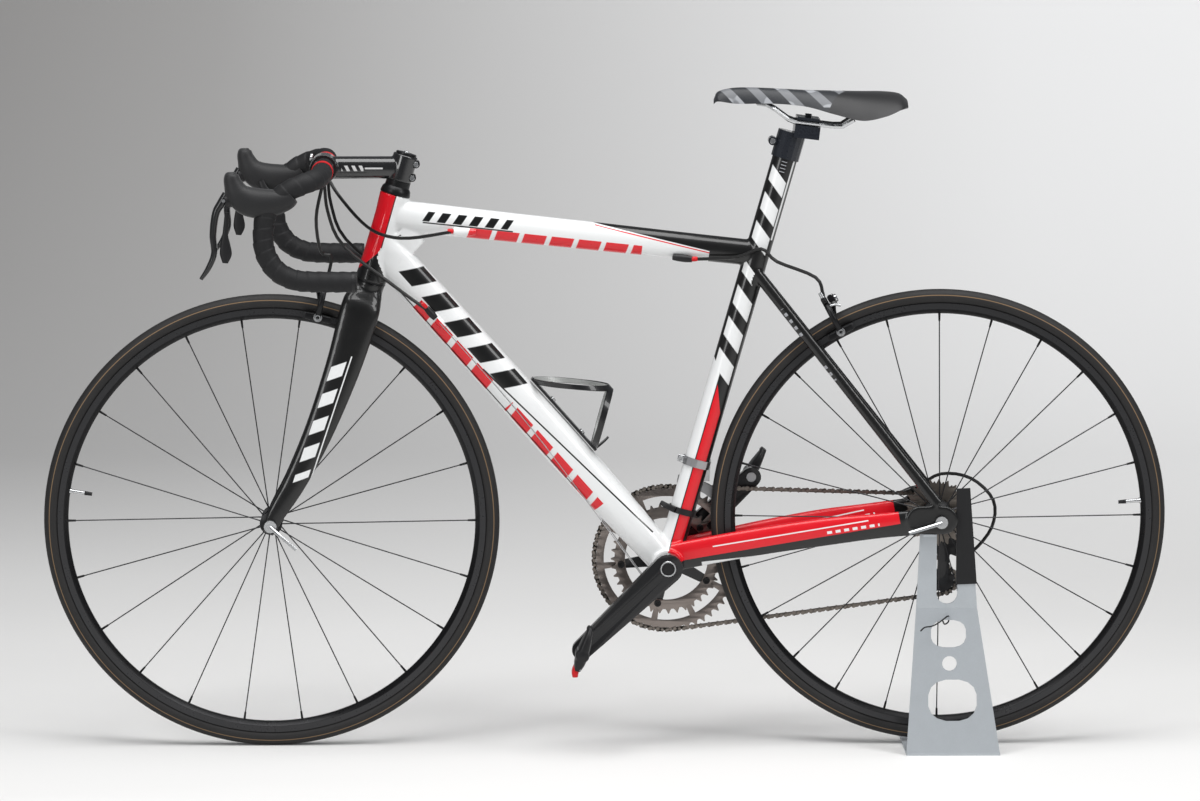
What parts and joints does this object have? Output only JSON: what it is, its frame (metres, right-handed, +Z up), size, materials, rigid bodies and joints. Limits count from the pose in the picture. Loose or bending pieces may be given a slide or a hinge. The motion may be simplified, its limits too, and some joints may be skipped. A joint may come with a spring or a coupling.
{
  "type": "bicycle on stand",
  "caption": "Road racing bicycle with drop bars and clipless pedals, held upright at its rear axle by a folded steel display stand.",
  "frame": {"origin": "under the rear axle, on the flat underside of the stand's base", "axes": "+X to the bicycle's rear, +Y to its right side, +Z up; the bicycle's middle plane is Y = 0"},
  "size_m": [1.646, 0.456, 0.9695],
  "materials": {
    "white_paint": "glossy white enamel over carbon tube",
    "red_paint": "glossy red enamel over carbon tube",
    "black_carbon": "clear-coated black carbon",
    "black_alloy": "black anodised",
    "silver_alloy": "polished",
    "bronze_alloy": "hard-anodised bronze grey",
    "chain_steel": "oiled steel",
    "tyre_rubber": "black tread with tan sidewall line",
    "grip_rubber": "matt black",
    "saddle_cover": "matt synthetic leather",
    "stand_paint": "silver-grey powder coat",
    "cable_black": "black cable housing"
  },
  "bodies": {
    "stand": {"stand": "stand_paint", "stand_sleeve": "grip_rubber"},
    "bike_frame": {"head_tube": "red_paint", "top_tube": "white_paint", "down_tube": "white_paint", "seat_tube": "black_carbon", "bottom_bracket_shell": "black_carbon", "left_chainstay": "red_paint", "right_chainstay": "red_paint", "left_seatstay": "black_carbon", "right_seatstay": "black_carbon", "front_derailleur_body": "silver_alloy", "bottle_cage": "black_carbon", "chain": "chain_steel", "rear_derailleur_body": "black_carbon", "rear_axle": "silver_alloy", "rear_brake_housing_front": "cable_black", "rear_brake_housing_rear": "cable_black", "left_shift_housing": "cable_black", "right_shift_housing": "cable_black", "rear_derailleur_housing": "cable_black"},
    "steering_assembly": {"fork": "black_carbon", "headset_spacer": "black_alloy", "stem": "black_alloy", "stem_faceplate": "black_alloy", "handlebar": "grip_rubber", "left_hood": "grip_rubber", "right_hood": "grip_rubber", "front_axle": "silver_alloy", "front_brake_housing": "cable_black"},
    "front_wheel": {"front_tyre": "tyre_rubber", "front_rim": "black_alloy", "front_hub_and_spokes": "black_alloy"},
    "rear_wheel": {"rear_tyre": "tyre_rubber", "rear_rim": "black_alloy", "rear_hub_and_spokes": "black_alloy"},
    "cassette_body": {"cassette": "silver_alloy"},
    "crankset": {"left_crank": "black_carbon", "right_crank": "black_carbon", "big_chainring": "bronze_alloy", "small_chainring": "bronze_alloy"},
    "left_pedal_body": {"left_pedal": "black_alloy"},
    "right_pedal_body": {"right_pedal": "black_alloy"},
    "left_lever_body": {"left_brake_lever": "black_carbon"},
    "right_lever_body": {"right_brake_lever": "black_carbon"},
    "left_paddle_body": {"left_shift_paddle": "black_alloy"},
    "right_paddle_body": {"right_shift_paddle": "black_alloy"},
    "front_arm_left_body": {"front_brake_arm_left": "black_alloy"},
    "front_arm_right_body": {"front_brake_arm_right": "black_alloy"},
    "rear_arm_left_body": {"rear_brake_arm_left": "black_alloy"},
    "rear_arm_right_body": {"rear_brake_arm_right": "black_alloy"},
    "front_derailleur_cage_body": {"front_derailleur_cage": "silver_alloy"},
    "rear_derailleur_cage_body": {"rear_derailleur_cage": "black_carbon"},
    "guide_pulley_body": {"guide_pulley": "black_alloy"},
    "tension_pulley_body": {"tension_pulley": "black_alloy"},
    "front_quick_release_body": {"front_quick_release_lever": "silver_alloy"},
    "rear_quick_release_body": {"rear_quick_release_lever": "silver_alloy"},
    "seat_topper_body": {"seat_mast_topper": "black_alloy"},
    "saddle_body": {"saddle": "saddle_cover", "saddle_rails": "silver_alloy"}
  },
  "joints": [
    {"name": "lift_off_stand", "type": "slide", "parent": "stand", "child": "bike_frame", "axis": [0, 0, 1], "range_m": [0, 0.08]},
    {"name": "steering", "type": "hinge", "parent": "bike_frame", "child": "steering_assembly", "pos_m": [-0.8322, 0, 0.68647], "axis": [0.2756, 0, 0.9613], "range_deg": [-70, 70], "deforming": ["rear_brake_housing_front", "left_shift_housing", "right_shift_housing"]},
    {"name": "front_wheel_spin", "type": "hinge", "parent": "steering_assembly", "child": "front_wheel", "pos_m": [-0.978, 0, 0.334], "axis": [0, 1, 0], "continuous": true},
    {"name": "rear_wheel_spin", "type": "hinge", "parent": "bike_frame", "child": "rear_wheel", "pos_m": [0, 0, 0.34], "axis": [0, 1, 0], "continuous": true},
    {"name": "crank_spin", "type": "hinge", "parent": "bike_frame", "child": "crankset", "pos_m": [-0.398, 0, 0.27], "axis": [0, 1, 0], "continuous": true},
    {"name": "cassette_spin", "type": "hinge", "parent": "bike_frame", "child": "cassette_body", "pos_m": [0, 0, 0.34], "axis": [0, 1, 0], "continuous": true},
    {"name": "left_pedal_spin", "type": "hinge", "parent": "crankset", "child": "left_pedal_body", "pos_m": [-0.52416, 0, 0.15235], "axis": [0, 1, 0], "continuous": true},
    {"name": "right_pedal_spin", "type": "hinge", "parent": "crankset", "child": "right_pedal_body", "pos_m": [-0.27184, 0, 0.38765], "axis": [0, 1, 0], "continuous": true},
    {"name": "left_brake_lever_pull", "type": "hinge", "parent": "steering_assembly", "child": "left_lever_body", "pos_m": [-1.03495, -0.21, 0.824], "axis": [0, -1, 0], "range_deg": [0, 16], "stiffness_Nm_per_rad": 0.8, "springref_deg": -11.46},
    {"name": "left_shift_paddle_push", "type": "hinge", "parent": "left_lever_body", "child": "left_paddle_body", "pos_m": [-1.02995, -0.21, 0.808], "axis": [1, 0, 0], "range_deg": [0, 18], "stiffness_Nm_per_rad": 0.1, "springref_deg": -5.73},
    {"name": "right_brake_lever_pull", "type": "hinge", "parent": "steering_assembly", "child": "right_lever_body", "pos_m": [-1.03495, 0.21, 0.824], "axis": [0, -1, 0], "range_deg": [0, 16], "stiffness_Nm_per_rad": 0.8, "springref_deg": -11.46},
    {"name": "right_shift_paddle_push", "type": "hinge", "parent": "right_lever_body", "child": "right_paddle_body", "pos_m": [-1.02995, 0.21, 0.808], "axis": [-1, 0, 0], "range_deg": [0, 18], "stiffness_Nm_per_rad": 0.1, "springref_deg": -5.73},
    {"name": "front_brake_left_arm", "type": "hinge", "parent": "steering_assembly", "child": "front_arm_left_body", "pos_m": [-0.89821, 0, 0.6796], "axis": [0.9744, 0, -0.225], "range_deg": [0, 2.2]},
    {"name": "front_brake_right_arm", "type": "hinge", "parent": "steering_assembly", "child": "front_arm_right_body", "pos_m": [-0.89821, 0, 0.6796], "axis": [-0.9744, 0, 0.225], "range_deg": [0, 2.2]},
    {"name": "rear_brake_left_arm", "type": "hinge", "parent": "bike_frame", "child": "rear_arm_left_body", "pos_m": [-0.16652, 0, 0.65317], "axis": [0.8829, 0, 0.4695], "range_deg": [0, 2.2]},
    {"name": "rear_brake_right_arm", "type": "hinge", "parent": "bike_frame", "child": "rear_arm_right_body", "pos_m": [-0.16652, 0, 0.65317], "axis": [-0.8829, 0, -0.4695], "range_deg": [0, 2.2]},
    {"name": "front_derailleur_shift", "type": "slide", "parent": "bike_frame", "child": "front_derailleur_cage_body", "axis": [0, -1, 0], "range_m": [0, 0.007], "deforming": ["chain"]},
    {"name": "rear_derailleur_cage_swing", "type": "hinge", "parent": "bike_frame", "child": "rear_derailleur_cage_body", "pos_m": [0.014, 0.0595, 0.286], "axis": [0, 1, 0], "range_deg": [-25, 55], "stiffness_Nm_per_rad": 0.5, "deforming": ["chain"]},
    {"name": "guide_pulley_spin", "type": "hinge", "parent": "rear_derailleur_cage_body", "child": "guide_pulley_body", "pos_m": [0.014, 0.0595, 0.286], "axis": [0, 1, 0], "continuous": true},
    {"name": "tension_pulley_spin", "type": "hinge", "parent": "rear_derailleur_cage_body", "child": "tension_pulley_body", "pos_m": [0.012, 0.0595, 0.234], "axis": [0, 1, 0], "continuous": true},
    {"name": "front_quick_release_flip", "type": "hinge", "parent": "steering_assembly", "child": "front_quick_release_body", "pos_m": [-0.978, -0.0719, 0.334], "axis": [-0.65, 0, -0.76], "range_deg": [0, 110]},
    {"name": "rear_quick_release_flip", "type": "hinge", "parent": "bike_frame", "child": "rear_quick_release_body", "pos_m": [0, -0.0854, 0.34], "axis": [-0.28, 0, 0.96], "range_deg": [0, 110]},
    {"name": "seat_height", "type": "slide", "parent": "bike_frame", "child": "seat_topper_body", "axis": [0.2756, 0, 0.9613], "range_m": [-0.01, 0.01]},
    {"name": "saddle_fore_aft", "type": "slide", "parent": "seat_topper_body", "child": "saddle_body", "axis": [0.993, 0, -0.118], "range_m": [-0.018, 0]}
  ],
  "couplings": [
    {"joint": "cassette_spin", "follows": "crank_spin", "ratio": 4.8182},
    {"joint": "guide_pulley_spin", "follows": "crank_spin", "ratio": -5.3},
    {"joint": "tension_pulley_spin", "follows": "crank_spin", "ratio": 5.3},
    {"joint": "front_brake_left_arm", "follows": "left_brake_lever_pull", "ratio": 0.1375},
    {"joint": "front_brake_right_arm", "follows": "left_brake_lever_pull", "ratio": 0.1375},
    {"joint": "rear_brake_left_arm", "follows": "right_brake_lever_pull", "ratio": 0.1375},
    {"joint": "rear_brake_right_arm", "follows": "right_brake_lever_pull", "ratio": 0.1375}
  ]
}
